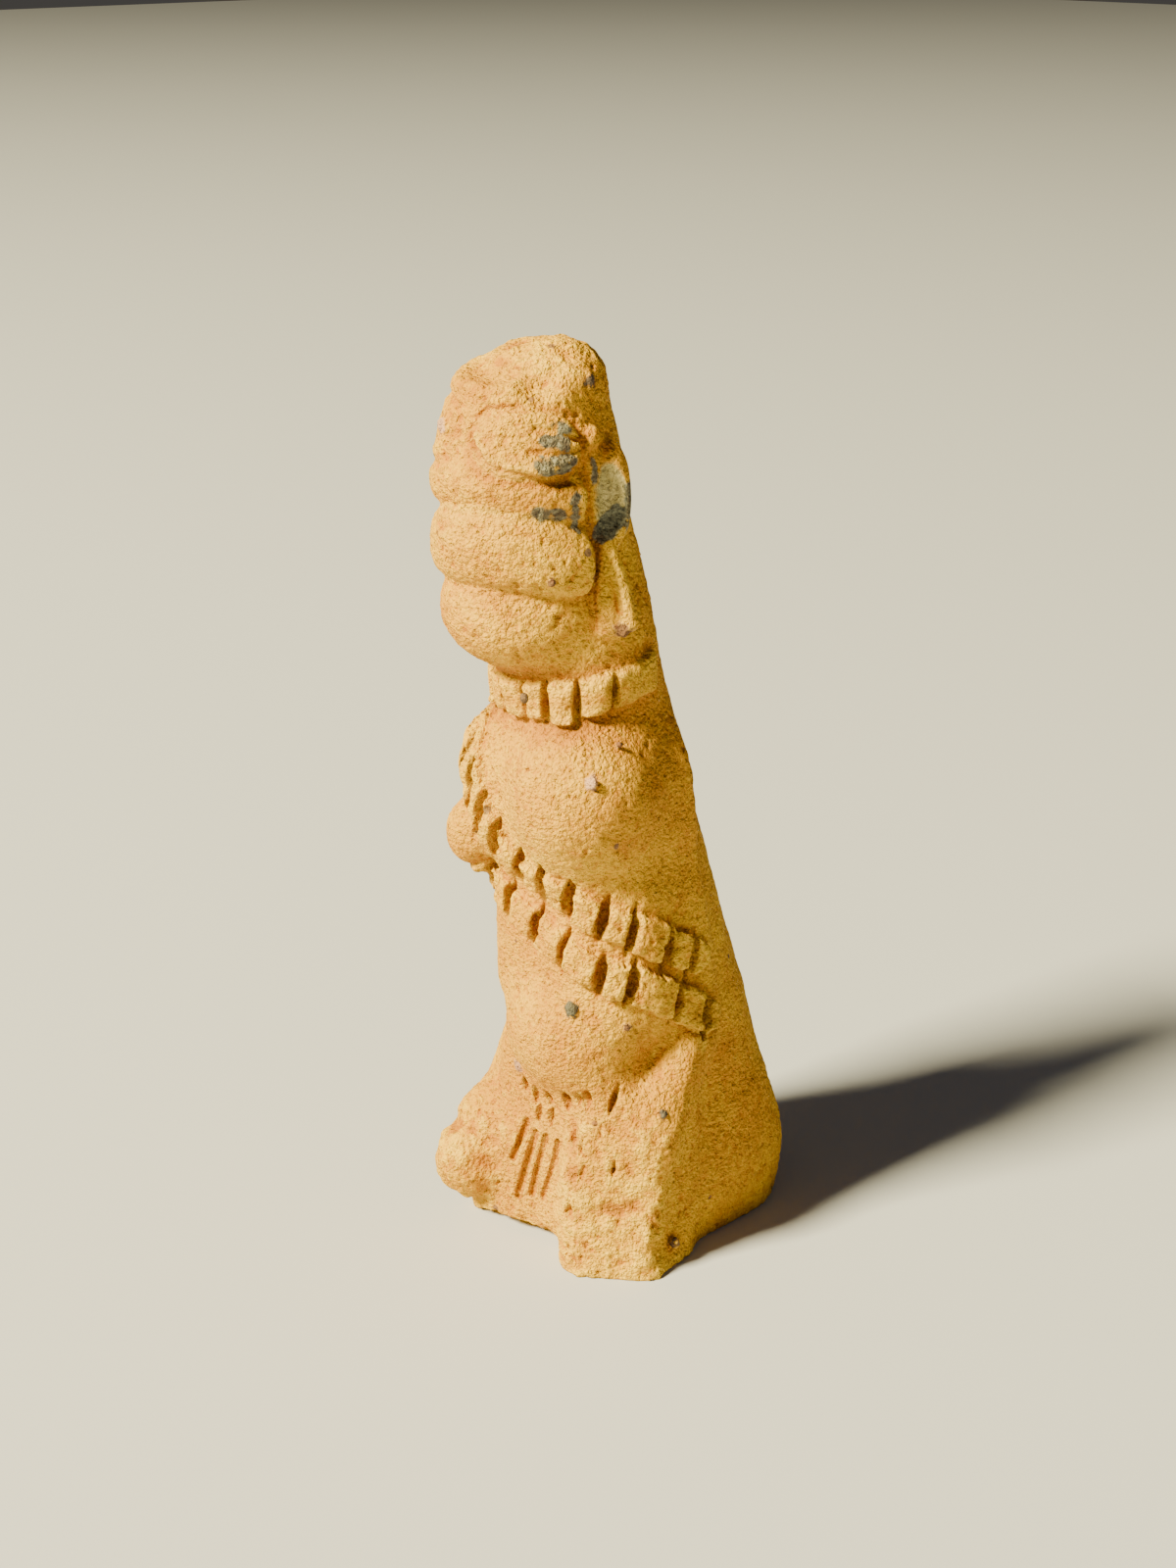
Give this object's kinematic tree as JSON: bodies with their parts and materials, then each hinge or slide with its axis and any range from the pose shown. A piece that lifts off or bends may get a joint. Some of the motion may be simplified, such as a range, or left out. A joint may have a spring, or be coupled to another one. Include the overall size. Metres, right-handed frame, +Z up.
{
  "type": "terracotta figure",
  "caption": "Standing terracotta figure with a stacked-roll face, broken cap, collar, notched sashes and a heavy rounded base that leans back.",
  "frame": {"origin": "centre of the bounding rectangle of the figure, on the ground plane that it stands on", "axes": "+Z up, -Y the way the figure faces, +X towards the figure's own left"},
  "size_m": [0.0722, 0.1092, 0.2516],
  "materials": {
    "terracotta": "dry, pitted, unglazed fired clay"
  },
  "bodies": {
    "root": {"figure": "terracotta"}
  },
  "joints": []
}
